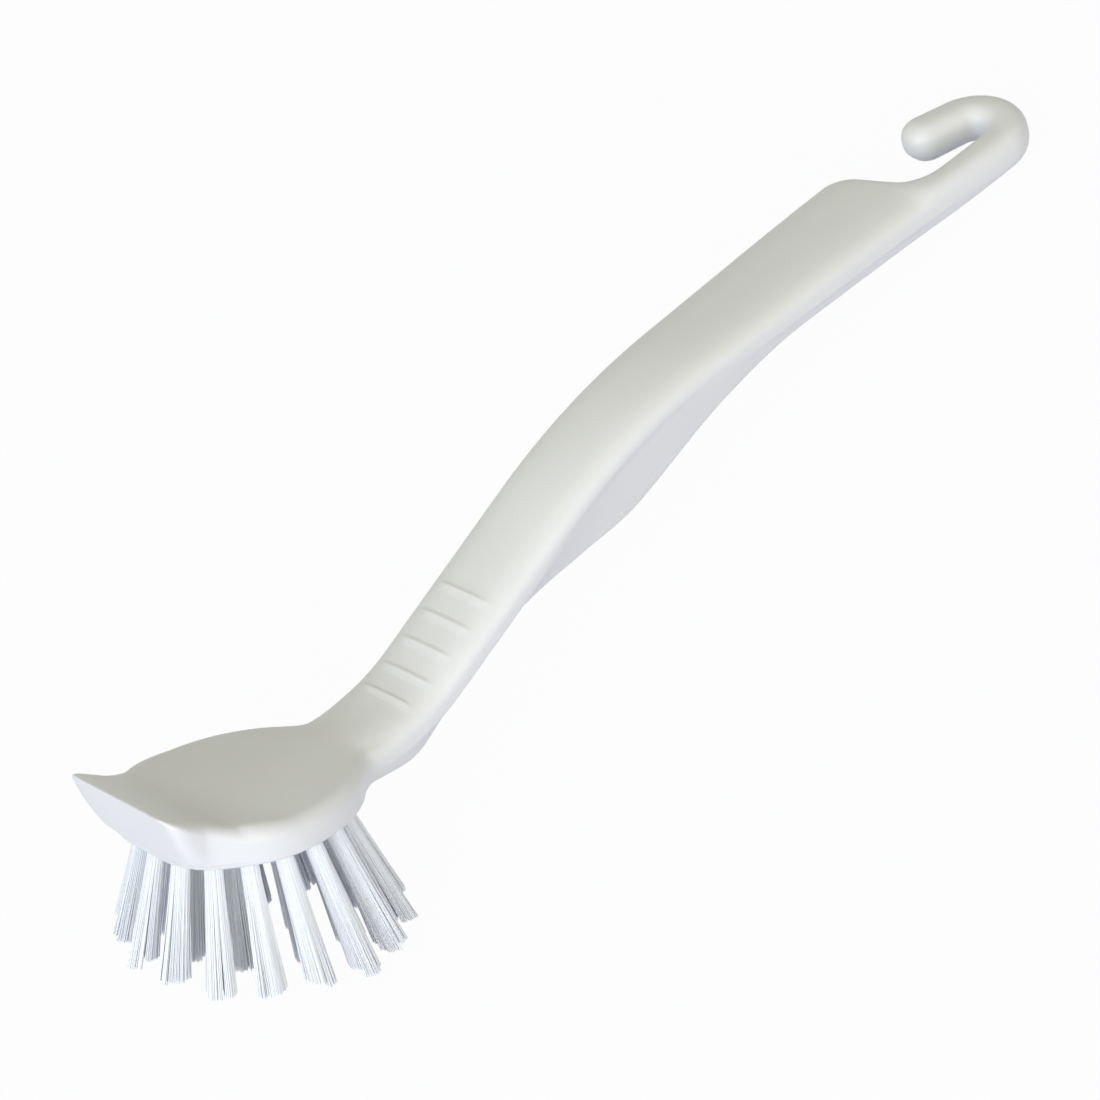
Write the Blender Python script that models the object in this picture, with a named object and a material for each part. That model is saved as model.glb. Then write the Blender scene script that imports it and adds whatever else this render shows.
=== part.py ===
"""A round-headed washing-up brush: one moulded body with a scraper, a finger grip and a hanging hook,
and tufts of folded filament that steel anchor plates hold in blind holes in the head.

Lengths are metres. The brush is drawn with its head level, X from the scraper's lip to the hook, Y towards
the hook's open side and Z up, the bristle face lying on Z = 0. At the end the whole brush is tipped back
until it lies as it does on a table, on its rear tufts and its hook.
"""

import math
import random

import bmesh
import bpy
from mathutils import Matrix, Vector

# Head and scraper
HEAD_WIDTH = 0.0458
HEAD_BACK_LENGTH = 0.0310
HEAD_THICKNESS = 0.0090
HEAD_CROWN = 0.0012
RIM_ROUND = 0.0022
FOOT_ROUND = 0.0011
LIP_WIDTH = 0.0267
LIP_HEIGHT = 0.0158
LIP_ROUND = 0.0013
LIP_CORNER_LENGTH = 0.0036
SCOOP_WIDTH = 0.0344
SCOOP_FOOT_WIDTH = 0.0300
SCOOP_LENGTH = 0.0158
SCOOP_DISH = 0.0008
FACE_FOOT = 0.0074
FACE_FOOT_WIDTH = 0.0060
FACE_CORNER_LENGTH = 0.0080
FACE_BULGE = 0.0058
FACE_SPREAD_POWER = 0.3
BILL_CORNER_POWER = 2.3
SCOOP_POWER = 1.25
SCOOP_BLEND = 0.0045
NECK_BLEND = 0.0038

# Back line of the neck and the handle
NECK_RUNOUT = 0.0089
NECK_SLOPE = math.radians(37.5)
NECK_BEND_RADIUS = 0.0420
NECK_RUN = 0.0665
BACK_BEND_RADIUS = 0.1400
TAIL_SLOPE = math.radians(16.45)

# Widths, each with its distance behind the neck's corner
WAIST_AT = -0.0060
WAIST_WIDTH = 0.0222
NECK_AT = 0.0150
NECK_WIDTH = 0.0221
GRIP_AT = 0.0800
GRIP_WIDTH = 0.0230
TAIL_AT = 0.1484
TAIL_WIDTH = 0.0272

# Depths below the back line
NECK_DEPTH = 0.0095
NECK_DEPTH_RUN = 0.0205
TAIL_DEPTH = 0.0101
BELLY_DEPTH = 0.0098
BELLY_START = 0.0234
BELLY_PEAK = 0.0604
BELLY_END = 0.1164
SHOULDER_DEPTH = 0.0046
CREASE_DROP = 0.0016
CREASE_INSET = 0.0006
KEEL_INSET = 0.0009
KEEL_ROUND = 0.0022
BELLY_INSET = 0.0021
BACK_POWER = 0.72

# Hook
HOOK_CORNER_RADIUS = 0.0052
HOOK_NOTCH_RADIUS = 0.0096
HOOK_STEP_LENGTH = 0.0020
HOOK_AT = 0.1804
HOOK_BAR_WIDTH = 0.0091
HOOK_BAR_DEPTH = 0.0094
HOOK_BEND_RADIUS = 0.0075
HOOK_TURN = math.radians(168.0)
HOOK_ARM_LENGTH = 0.0092
HOOK_ARM_WIDTH = 0.0100
HOOK_TIP_LENGTH = 0.0040
HOOK_LIFT = 0.0026
HOOK_OFFSET = 0.0113
BAR_POWER = 0.8
TIP_POWER = 2.6
TIP_BLUNT_SHARE = 0.35

# Low grip ribs across the neck
RIB_COUNT = 5
RIB_FIRST_AT = 0.0031
RIB_PITCH = 0.0057
RIB_HEIGHT = 0.00038
RIB_RISE = 0.0017
RIB_DROP = 0.0005
RIB_SKIRT = 0.0001
RIB_ROOT = 0.0008
RIB_REACH_SHARE = 0.78
RIB_FADE_POWER = 3

# Tufts and their anchors
HOLE_RADIUS = 0.00215
HOLE_DEPTH = 0.0062
HOLE_RIM = 0.0009
RING_BACK = 0.0026
RING_COUNTS = (17, 9, 3)
RING_RADIUS_SHARES = (1.0, 0.66, 0.28)
RING_TURN_SHARES = (0.0, 0.5, 0.5)
FAN_FORWARD = 0.0066
FAN_HEIGHT = 0.0604
BRISTLE_LENGTH = 0.0293
BRISTLE_TRIM = 0.0012
TUFT_SPREAD_SHARE = 1.6
STRAND_GAP = 0.00022
STRAND_PAIRS = 4
STRAND_RING_SHARE = 0.56
BRISTLE_GIVE = 0.0018
CLEARANCE = 0.0003
ANCHOR_HEIGHT = 0.0014
ANCHOR_THICKNESS = 0.0004
ANCHOR_WIDTH_SHARE = 0.94
FOLD_HEIGHT = 0.0009

# Cuts and mesh steps
OVERRUN = 0.0020
HEAD_STEP = 0.0030
SCOOP_STEPS = 12
NECK_STEP = 0.0023
HANDLE_STEP = 0.0060
CORNER_STEP = 0.0009
ARC_SHARE = 0.96
BEND_STEPS = 14
PROFILE_STEPS = 15
TOP_SHARES = (0.45, 0.8)
RIM_TURNS = [math.radians(angle) for angle in (90, 60, 30, 0)]
WALL_SHARES = (0.7, 0.45, 0.25, 0.1)
FOOT_TURNS = [math.radians(angle) for angle in (0, 45, 90)]
BACK_TURNS = [math.radians(angle) for angle in (0, 22, 40, 55, 68, 79, 90)]
FLANK_SHARES = (0, 0.3, 0.65, 1)
KEEL_TURNS = [math.radians(angle) for angle in (30, 60, 90)]
ARM_SHARES = (0.5, 1)
TIP_SHARES = (0.35, 0.65, 0.87, 1)
SHARP_ANGLE = math.radians(35)
ROUND_SIDES = 12
RIB_STEPS = 6
TILT_STEPS = 50
SEED = 7

# Places that follow from the sizes
HEAD_CENTRE = FACE_FOOT + HEAD_WIDTH / 2
HEAD_BACK = HEAD_CENTRE + HEAD_BACK_LENGTH
NECK_CORNER = HEAD_BACK + NECK_RUNOUT
RING_CENTRE = HEAD_CENTRE + RING_BACK
OUTER_RING_RADIUS = HEAD_WIDTH / 2 - HOLE_RIM - HOLE_RADIUS
PLUG_RADIUS = HOLE_RADIUS - CLEARANCE
PLUG_DEPTH = HOLE_DEPTH - CLEARANCE


def eased(share):
    """0 to 1, starting and ending level."""
    share = min(max(share, 0), 1)
    return share * share * (3 - 2 * share)


def mix(a, b, share):
    return a + (b - a) * share


def larger(a, b, blend):
    """The larger of two lengths, rounded over where they cross."""
    near = max(blend - abs(a - b), 0) / blend
    return max(a, b) + near * near * blend / 4


def through(stations, place):
    """A smooth curve through (place, value) stations, level at both ends and outside them."""
    last = len(stations) - 1
    slopes = [0] * (last + 1)
    for i in range(1, last):
        run = stations[i + 1][0] - stations[i - 1][0]
        slopes[i] = (stations[i + 1][1] - stations[i - 1][1]) / run
    if place <= stations[0][0]:
        return stations[0][1]
    for i in range(last):
        (start, low), (end, high) = stations[i], stations[i + 1]
        if place <= end:
            share, run = (place - start) / (end - start), end - start
            bend = slopes[i] * (1 - share) - slopes[i + 1] * share
            return mix(low, high, eased(share)) + run * share * (1 - share) * bend
    return stations[last][1]


def bend_of(corner, before, after, radius):
    """The arc that rounds a corner between two slopes: its start, its end and its radius, signed upwards."""
    tangent = radius * abs(math.tan((after - before) / 2))
    start = corner - tangent * Vector((math.cos(before), math.sin(before)))
    end = corner + tangent * Vector((math.cos(after), math.sin(after)))
    return start, end, math.copysign(radius, after - before)


NECK_START = Vector((NECK_CORNER, HEAD_THICKNESS))
BACK_START = NECK_START + NECK_RUN * Vector((1, math.tan(NECK_SLOPE)))
NECK_BEND = bend_of(NECK_START, 0, NECK_SLOPE, NECK_BEND_RADIUS)
BACK_BEND = bend_of(BACK_START, NECK_SLOPE, TAIL_SLOPE, BACK_BEND_RADIUS)


def back_line(x):
    """Height and slope of the line down the middle of the brush's back: straights joined by two arcs."""
    slope, corner = 0, Vector((0, HEAD_THICKNESS))
    for (start, end, radius), after in ((NECK_BEND, NECK_SLOPE), (BACK_BEND, TAIL_SLOPE)):
        if x < start.x:
            break
        if x < end.x:
            angle = math.asin(math.sin(slope) + (x - start.x) / radius)
            return start.y + radius * (math.cos(slope) - math.cos(angle)), angle
        slope, corner = after, end
    return corner.y + (x - corner.x) * math.tan(slope), slope


def head_half(x):
    """Half width of the head's egg outline, round in front and longer behind."""
    reach = HEAD_WIDTH / 2 if x < HEAD_CENTRE else HEAD_BACK_LENGTH
    share = min(abs(x - HEAD_CENTRE) / reach, 1)
    return HEAD_WIDTH / 2 * math.sqrt(1 - share * share)


def bill_half(x, share):
    """Half width of the scraper at a share of its height: a straight front edge with rounded corners."""
    front = FACE_FOOT * (1 - share)
    spread = share ** FACE_SPREAD_POWER
    reach = mix(FACE_CORNER_LENGTH, LIP_CORNER_LENGTH, spread)
    along = 1 - min(max((x - front) / reach, 0), 1)
    straight = mix(FACE_FOOT_WIDTH, LIP_WIDTH, spread) + FACE_BULGE * 4 * share * (1 - share)
    wide = mix(SCOOP_FOOT_WIDTH, SCOOP_WIDTH, spread)
    return mix(straight, wide, (1 - along ** BILL_CORNER_POWER) ** (1 / BILL_CORNER_POWER)) / 2


def edge_half(x, near):
    """Half width of the neck and handle on one side. On the near side it runs on into the hook's bar."""
    stations = [
        (NECK_CORNER + WAIST_AT, WAIST_WIDTH / 2),
        (NECK_CORNER + NECK_AT, NECK_WIDTH / 2),
        (NECK_CORNER + GRIP_AT, GRIP_WIDTH / 2),
        (NECK_CORNER + TAIL_AT, TAIL_WIDTH / 2),
    ]
    if near:
        stations.append((NECK_CORNER + HOOK_AT, HOOK_OFFSET + HOOK_BAR_WIDTH / 2))
    return through(stations, x)


def outline_half(x, height):
    """Half width of the head and neck at a height above the bristle face."""
    if x >= HEAD_CENTRE:
        return larger(edge_half(x, False), head_half(x), NECK_BLEND)
    return larger(bill_half(x, min(height / LIP_HEIGHT, 1)), head_half(x), SCOOP_BLEND)


def scoop_rise(x):
    """How far the scoop stands above the head's top."""
    share = 1 - min(x / SCOOP_LENGTH, 1)
    return (LIP_HEIGHT - HEAD_THICKNESS) * math.copysign(abs(share) ** SCOOP_POWER, share)


def belly(x):
    """Swelling under the handle that fills the palm."""
    x -= NECK_CORNER
    rise = eased((x - BELLY_START) / (BELLY_PEAK - BELLY_START))
    fall = eased((BELLY_END - x) / (BELLY_END - BELLY_PEAK))
    return BELLY_DEPTH * min(rise, fall)


def handle_depth(x):
    along = (x - NECK_CORNER - BELLY_START) / (BELLY_END - BELLY_START)
    return mix(NECK_DEPTH, TAIL_DEPTH, eased(along)) + belly(x)


def head_points(x):
    """Right half of a section through the head, from the top's middle to the bottom's.

    At the lip a section leans like the scraper's face, and it stands upright from the head's centre on.
    """
    scoop = eased(x / SCOOP_LENGTH)
    rim = mix(LIP_ROUND, RIM_ROUND, scoop)
    edge = HEAD_THICKNESS - HEAD_CROWN * eased(x / SCOOP_LENGTH - 1) + scoop_rise(x)
    middle = edge + mix(-SCOOP_DISH * scoop, HEAD_CROWN, eased(x / SCOOP_LENGTH - 1))
    lean = FACE_FOOT * max(1 - x / HEAD_CENTRE, 0)

    def place(height):
        return x + lean * (1 - height / LIP_HEIGHT)

    wide, foot = outline_half(place(edge), edge), outline_half(place(0), 0)
    points = [(0, middle)]
    for share in TOP_SHARES:
        points.append((share * (wide - rim), mix(middle, edge, share * share)))
    for turn in RIM_TURNS:
        points.append((wide - rim * (1 - math.cos(turn)), edge - rim * (1 - math.sin(turn))))
    for share in WALL_SHARES:
        height = mix(FOOT_ROUND, edge - rim, share)
        points.append((outline_half(place(height), height), height))
    for turn in FOOT_TURNS:
        points.append((foot - FOOT_ROUND * (1 - math.cos(turn)), FOOT_ROUND * (1 - math.sin(turn))))
    points.append((foot / 2, 0))
    points.append((0, 0))
    return [Vector((place(z), y, z)) for y, z in points]


def handle_profile(half, depth, swell):
    """Right half of a section through the handle: a crowned back that rolls over to a crease, and a keel."""
    shoulder = min(SHOULDER_DEPTH, depth / 2)
    crease = CREASE_INSET * swell
    flank = mix(KEEL_INSET, BELLY_INSET, swell)
    points = []
    for turn in BACK_TURNS:
        across, down = math.sin(turn) ** BACK_POWER, 1 - math.cos(turn) ** BACK_POWER
        points.append((half * across, -shoulder * down))
    for share in FLANK_SHARES:
        level = mix(-shoulder - CREASE_DROP, KEEL_ROUND - depth, share)
        points.append((half - mix(crease, flank, share), level))
    for turn in KEEL_TURNS:
        side = half - flank - KEEL_ROUND * (1 - math.cos(turn))
        points.append((side, -depth + KEEL_ROUND * (1 - math.sin(turn))))
    points.append(((half - flank - KEEL_ROUND) / 2, -depth))
    points.append((0, -depth))
    return points


def bar_profile(half, depth):
    """Right half of the hook's bar, a rounded square."""
    points = []
    for step in range(PROFILE_STEPS + 1):
        turn = math.pi * step / PROFILE_STEPS
        across = abs(math.sin(turn)) ** BAR_POWER if 0 < step < PROFILE_STEPS else 0
        down = math.copysign(abs(math.cos(turn)) ** BAR_POWER, math.cos(turn))
        points.append((half * across, depth / 2 * (down - 1)))
    return points


def blended(first, second, share):
    return [(mix(a, c, share), mix(b, d, share)) for (a, b), (c, d) in zip(first, second)]


def far_edge(x):
    """The far edge of the tail, which rounds off and steps in to the hook's bar."""
    x -= NECK_CORNER + TAIL_AT
    bar = HOOK_BAR_WIDTH / 2 - HOOK_OFFSET
    corner_y = TAIL_WIDTH / 2 - HOOK_CORNER_RADIUS
    notch_x = HOOK_CORNER_RADIUS + HOOK_STEP_LENGTH + HOOK_NOTCH_RADIUS
    notch_y = bar + HOOK_NOTCH_RADIUS
    corner_end = HOOK_CORNER_RADIUS * ARC_SHARE
    notch_start = notch_x - HOOK_NOTCH_RADIUS * ARC_SHARE
    rise = math.sqrt(1 - ARC_SHARE * ARC_SHARE)
    if x < corner_end:
        return corner_y + math.sqrt(HOOK_CORNER_RADIUS ** 2 - max(x, 0) ** 2)
    if x > notch_x:
        return bar
    if x > notch_start:
        return notch_y - math.sqrt(HOOK_NOTCH_RADIUS ** 2 - (x - notch_x) ** 2)
    high = corner_y + HOOK_CORNER_RADIUS * rise
    low = notch_y - HOOK_NOTCH_RADIUS * rise
    return mix(high, low, (x - corner_end) / (notch_start - corner_end))


def mirrored(points, side):
    """A closed ring of points from its right half, mirrored across the plane that the side vector names."""
    middle = points[0].dot(side)
    return points + [p - side * 2 * (p.dot(side) - middle) for p in points[1:-1]][::-1]


def placed(profile, origin, side, up):
    """The points of a half profile, from an origin along two directions."""
    return [origin + side * y + up * z for y, z in profile]


def body_ring(x):
    """Section of the body at a place along its back line."""
    height, slope = back_line(x)
    up, side = Vector((-math.sin(slope), 0, math.cos(slope))), Vector((0, 1, 0))
    origin = Vector((x, 0, height))
    depth = mix(height / math.cos(slope), handle_depth(x), eased((x - HEAD_BACK) / NECK_DEPTH_RUN))
    if x < NECK_CORNER:
        neck = placed(handle_profile(outline_half(x, 0), depth, 0), origin, side, up)
        start = HEAD_BACK - NECK_RUNOUT
        share = eased((x - start) / (NECK_CORNER - start))
        head = [turned(point, origin, side, up) for point in head_points(x)]
        return mirrored([a.lerp(b, share) for a, b in zip(head, neck)], side)
    near, far = edge_half(x, True), edge_half(x, False)
    if x > NECK_CORNER + TAIL_AT:
        far = far_edge(x)
    start = NECK_CORNER + TAIL_AT + HOOK_CORNER_RADIUS
    share = eased((x - start) / (NECK_CORNER + HOOK_AT - start))
    handle = handle_profile((far + near) / 2, depth, belly(x) / BELLY_DEPTH)
    bar = bar_profile((far + near) / 2, HOOK_BAR_DEPTH)
    origin += side * (far - near) / 2
    return mirrored(placed(blended(handle, bar, share), origin, side, up), side)


def turned(point, origin, side, up):
    """A point of the level head, carried up to where the back line has risen and turned to."""
    above = point.z - HEAD_THICKNESS
    if above < 0:
        above *= origin.z / up.z / HEAD_THICKNESS
    return origin + side * point.y + up * above + Vector((point.x - origin.x, 0, 0))


def steps(start, end, step):
    count = max(round((end - start) / step), 1)
    return [mix(start, end, i / count) for i in range(count)]


def body_places():
    """Where the body's sections lie, closest where its outline turns quickest."""
    tail = NECK_CORNER + TAIL_AT
    notch = tail + HOOK_CORNER_RADIUS + HOOK_STEP_LENGTH + HOOK_NOTCH_RADIUS
    neck_end = NECK_BEND[1].x
    return (
        [SCOOP_LENGTH * (i / SCOOP_STEPS) ** 2 for i in range(SCOOP_STEPS)]
        + steps(SCOOP_LENGTH, HEAD_BACK - NECK_RUNOUT, HEAD_STEP)
        + steps(HEAD_BACK - NECK_RUNOUT, neck_end, NECK_STEP)
        + steps(neck_end, tail, HANDLE_STEP)
        + steps(tail, notch, CORNER_STEP)
        + steps(notch, NECK_CORNER + HOOK_AT, HANDLE_STEP / 2)
    )


def hook_rings():
    """Sections round the hook's bend, along its arm and over its rounded tip."""
    start_x = NECK_CORNER + HOOK_AT
    height, slope = back_line(start_x)
    along = Vector((math.cos(slope), 0, math.sin(slope)))
    up = Vector((-math.sin(slope), 0, math.cos(slope)))
    side = Vector((0, 1, 0))
    bar = Vector((start_x, -HOOK_OFFSET, height))
    centre = bar + side * HOOK_BEND_RADIUS
    rings = []
    path_length = HOOK_BEND_RADIUS * HOOK_TURN + HOOK_ARM_LENGTH + HOOK_TIP_LENGTH

    def section(origin, inward, travelled, size):
        share = travelled / path_length
        half = mix(HOOK_BAR_WIDTH, HOOK_ARM_WIDTH, share) / 2 * size
        depth = mix(HOOK_BAR_DEPTH, HOOK_ARM_WIDTH, share)
        profile = [(y, z * size - depth * (1 - size) / 2) for y, z in bar_profile(half, depth)]
        rings.append(mirrored(placed(profile, origin + up * HOOK_LIFT * share, inward, up), inward))

    for step in range(BEND_STEPS + 1):
        turn = HOOK_TURN * step / BEND_STEPS
        inward = side * math.cos(turn) - along * math.sin(turn)
        section(centre - inward * HOOK_BEND_RADIUS, inward, HOOK_BEND_RADIUS * turn, 1)
    forward = along * math.cos(HOOK_TURN) + side * math.sin(HOOK_TURN)
    bend_end = centre - inward * HOOK_BEND_RADIUS
    bend_length = HOOK_BEND_RADIUS * HOOK_TURN
    for share in ARM_SHARES:
        arm = HOOK_ARM_LENGTH * share
        section(bend_end + forward * arm, inward, bend_length + arm, 1)
    for share in TIP_SHARES:
        out = HOOK_ARM_LENGTH + HOOK_TIP_LENGTH * share
        size = max((1 - share ** TIP_POWER) ** (1 / TIP_POWER), TIP_BLUNT_SHARE)
        section(bend_end + forward * out, inward, bend_length + out, size)
    return rings


def lofted(rings):
    """A closed mesh skinned over rings of equally many points."""
    mesh = bmesh.new()
    loops = [[mesh.verts.new(point) for point in ring] for ring in rings]
    for first, second in zip(loops, loops[1:]):
        for i in range(len(first)):
            j = (i + 1) % len(first)
            mesh.faces.new((first[i], first[j], second[j], second[i]))
    mesh.faces.new(loops[0][::-1])
    mesh.faces.new(loops[-1])
    bmesh.ops.recalc_face_normals(mesh, faces=mesh.faces)
    return mesh


def new_collection(name):
    collection = bpy.data.collections.new(name)
    bpy.context.scene.collection.children.link(collection)
    return collection


def new_object(name, mesh, collection, material=None):
    """An object from a bmesh, which is freed."""
    data = bpy.data.meshes.new(name)
    mesh.to_mesh(data)
    mesh.free()
    return place_mesh(name, data, collection, material)


def place_mesh(name, data, collection, material=None):
    made = bpy.data.objects.new(name, data)
    collection.objects.link(made)
    if material and not data.materials:
        data.materials.append(material)
    return made


def new_tool(name, mesh, collection):
    """A shape that is only cut away or joined on."""
    tool = new_object(name, mesh, collection)
    tool.hide_render = True
    tool.display_type = "WIRE"
    return tool


def combine(target, tool, operation):
    modifier = target.modifiers.new(tool.name, "BOOLEAN")
    modifier.operation = operation
    modifier.solver = "EXACT"
    modifier.object = tool


def new_material(name, colour, roughness, metallic=0.0):
    material = bpy.data.materials.new(name)
    material.use_nodes = True
    shader = material.node_tree.nodes["Principled BSDF"]
    shader.inputs["Base Color"].default_value = (*colour, 1.0)
    shader.inputs["Roughness"].default_value = roughness
    shader.inputs["Metallic"].default_value = metallic
    material.diffuse_color = (*colour, 1.0)
    return material


def cylinder(mesh, radius, length, matrix, sides=ROUND_SIDES):
    bmesh.ops.create_cone(
        mesh, cap_ends=True, segments=sides, radius1=radius, radius2=radius, depth=length, matrix=matrix
    )


def block(mesh, sizes, matrix):
    bmesh.ops.create_cube(mesh, size=1.0, matrix=matrix @ Matrix.Diagonal((*sizes, 1)))


def rib_bar(x):
    """A low rib that follows the crowned back across the neck and sinks into the shoulders.

    It rises gently from the head's side and drops steeply towards the handle.
    """
    height, slope = back_line(x)
    along = Vector((math.cos(slope), 0, math.sin(slope)))
    up, side = Vector((-math.sin(slope), 0, math.cos(slope))), Vector((0, 1, 0))
    crown = handle_profile(edge_half(x, False), NECK_DEPTH, 0)
    reach = edge_half(x, False) * RIB_REACH_SHARE
    section = (
        (-RIB_RISE, -RIB_ROOT), (-RIB_RISE, -RIB_SKIRT), (0, RIB_HEIGHT),
        (RIB_DROP, -RIB_SKIRT), (RIB_DROP, -RIB_ROOT),
    )
    rings = []
    for step in range(-RIB_STEPS, RIB_STEPS + 1):
        across = step / RIB_STEPS
        y = reach * across
        spot = [i for i in range(1, len(crown)) if crown[i][0] >= abs(y)][0]
        (y0, z0), (y1, z1) = crown[spot - 1], crown[spot]
        z = mix(z0, z1, (abs(y) - y0) / (y1 - y0))
        sunk = (RIB_HEIGHT + RIB_SKIRT) * abs(across) ** RIB_FADE_POWER
        foot = Vector((x, 0, height)) + side * y + up * (z - sunk)
        rings.append([foot + along * a + up * b for a, b in section])
    return lofted(rings)


def tuft_places():
    """Number, lean and matrix of every tuft: origin at its hole's mouth, -Z the way the bristles point.

    All tufts fan out from one point above the head.
    """
    fan = Vector((HEAD_CENTRE - FAN_FORWARD, 0, FAN_HEIGHT))
    places = []
    for count, share, turn in zip(RING_COUNTS, RING_RADIUS_SHARES, RING_TURN_SHARES):
        for index in range(count):
            angle = 2 * math.pi * (index + turn) / count
            radius = OUTER_RING_RADIUS * share
            mouth = Vector((RING_CENTRE + radius * math.cos(angle), radius * math.sin(angle), 0))
            out = mouth - fan
            lean = math.atan2(math.hypot(out.x, out.y), FAN_HEIGHT)
            heading = Matrix.Rotation(math.atan2(out.y, out.x), 4, "Z")
            matrix = Matrix.Translation(mouth) @ heading @ Matrix.Rotation(-lean, 4, "Y")
            places.append((len(places) + 1, lean, matrix))
    return places


def hole_cutters(places):
    """Blind round holes, each along its own tuft."""
    mesh = bmesh.new()
    for _, _, matrix in places:
        middle = (HOLE_DEPTH - OVERRUN) / 2
        cylinder(mesh, HOLE_RADIUS, HOLE_DEPTH + OVERRUN, matrix @ Matrix.Translation((0, 0, middle)))
    return mesh


def tuft_disc(mesh):
    """The tuft's face at the hole's mouth, split into an inner ring and an outer ring of strand roots."""
    count = STRAND_PAIRS * 2
    centre = mesh.verts.new((0, 0, 0))
    inner, outer = [], []
    for i in range(count):
        turn = Vector((math.cos(2 * math.pi * i / count), math.sin(2 * math.pi * i / count), 0))
        inner.append(mesh.verts.new(turn * PLUG_RADIUS * STRAND_RING_SHARE))
        outer.append(mesh.verts.new(turn * PLUG_RADIUS))
    for i in range(count):
        j = (i + 1) % count
        mesh.faces.new((inner[j], inner[i], outer[i], outer[j]))
    for i in range(0, count, 2):
        mesh.faces.new((centre, inner[(i + 2) % count], inner[i + 1], inner[i]))
    return outer


def tuft_mesh(number, lean):
    """A plug of packed filament with strands that fan out of its face, trimmed nearly level."""
    shuffle = random.Random(SEED + number)
    length = BRISTLE_LENGTH / math.cos(lean)
    mesh = bmesh.new()
    outer = tuft_disc(mesh)
    roots = list(mesh.faces)
    top = [mesh.verts.new(vert.co + Vector((0, 0, PLUG_DEPTH))) for vert in outer]
    for i in range(len(outer)):
        j = (i + 1) % len(outer)
        mesh.faces.new((outer[i], top[i], top[j], outer[j]))
    mesh.faces.new(top[::-1])
    bmesh.ops.recalc_face_normals(mesh, faces=mesh.faces)
    bmesh.ops.inset_individual(mesh, faces=roots, thickness=STRAND_GAP)
    strands = bmesh.ops.extrude_discrete_faces(mesh, faces=roots)["faces"]
    for strand in strands:
        shorter = BRISTLE_TRIM * shuffle.random()
        for vert in strand.verts:
            level = length - shorter - vert.co.x * math.tan(lean)
            vert.co = Vector((vert.co.x * TUFT_SPREAD_SHARE, vert.co.y * TUFT_SPREAD_SHARE, -level))
    return mesh


def window_cutter():
    """The slot through the folded filaments where the anchor lies."""
    mesh = bmesh.new()
    height = ANCHOR_HEIGHT + 2 * CLEARANCE
    middle = PLUG_DEPTH - FOLD_HEIGHT - height / 2
    sizes = (2 * (HOLE_RADIUS + OVERRUN), ANCHOR_THICKNESS + 2 * CLEARANCE, height)
    block(mesh, sizes, Matrix.Translation((0, 0, middle)))
    return mesh


def anchor_mesh():
    """A short length of flat wire, as wide as its hole lets it be."""
    mesh = bmesh.new()
    middle = PLUG_DEPTH - FOLD_HEIGHT - CLEARANCE - ANCHOR_HEIGHT / 2
    sizes = (2 * PLUG_RADIUS * ANCHOR_WIDTH_SHARE, ANCHOR_THICKNESS, ANCHOR_HEIGHT)
    block(mesh, sizes, Matrix.Translation((0, 0, middle)))
    return mesh


def settle(made):
    """Applies the object's cuts and joints."""
    bpy.context.view_layer.update()
    graph = bpy.context.evaluated_depsgraph_get()
    plain = made.data
    made.data = bpy.data.meshes.new_from_object(made.evaluated_get(graph))
    made.modifiers.clear()
    bpy.data.meshes.remove(plain)


def make_body(parts, tools, places, material):
    rings = [body_ring(x) for x in body_places()] + hook_rings()
    body = new_object("brush_body", lofted(rings), parts, material)
    for index in range(RIB_COUNT):
        x = NECK_CORNER + RIB_FIRST_AT + index * RIB_PITCH
        combine(body, new_tool(f"rib_bar_{index + 1}", rib_bar(x), tools), "UNION")
    combine(body, new_tool("hole_cutter", hole_cutters(places), tools), "DIFFERENCE")
    settle(body)
    body.data.shade_smooth()
    body.data.set_sharp_from_angle(angle=SHARP_ANGLE)
    return body


def make_tufts(parts, tools, places, bristle, steel):
    """Every tuft and its anchor. The anchors share one mesh."""
    window = new_tool("window_cutter", window_cutter(), tools)
    anchor = bpy.data.meshes.new("anchor")
    shape = anchor_mesh()
    shape.to_mesh(anchor)
    shape.free()
    made = []
    for number, lean, matrix in places:
        tuft = new_object(f"tuft_{number:02d}", tuft_mesh(number, lean), parts, bristle)
        combine(tuft, window, "DIFFERENCE")
        settle(tuft)
        plate = place_mesh(f"anchor_{number:02d}", anchor, parts, steel)
        tuft.matrix_world = matrix
        plate.matrix_world = matrix
        made += [tuft, plate]
    return made


def corners_of(made):
    return [made.matrix_world @ vert.co for vert in made.data.vertices]


def rest_tilt(body, pieces):
    """The angle that brings the hook down to the level where the rear tufts give way and carry the brush."""
    moulding = corners_of(body)
    tips = [corner for piece in pieces for corner in corners_of(piece)]

    def lowest(points, angle):
        return min(p.z * math.cos(angle) - p.x * math.sin(angle) for p in points)

    low, high = 0, math.pi / 3
    for _ in range(TILT_STEPS):
        middle = (low + high) / 2
        if lowest(moulding, middle) > lowest(tips, middle) + BRISTLE_GIVE:
            low = middle
        else:
            high = middle
    return (low + high) / 2


def press_flat(tuft, tilt, floor):
    """Shortens the strands that would reach below the table, so that they stand flat on it."""
    world = tilt @ tuft.matrix_world
    along = (world.to_3x3() @ Vector((0, 0, 1))).z
    for vert in tuft.data.vertices:
        below = floor - (world @ vert.co).z
        if below > 0:
            vert.co.z += below / along


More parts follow.
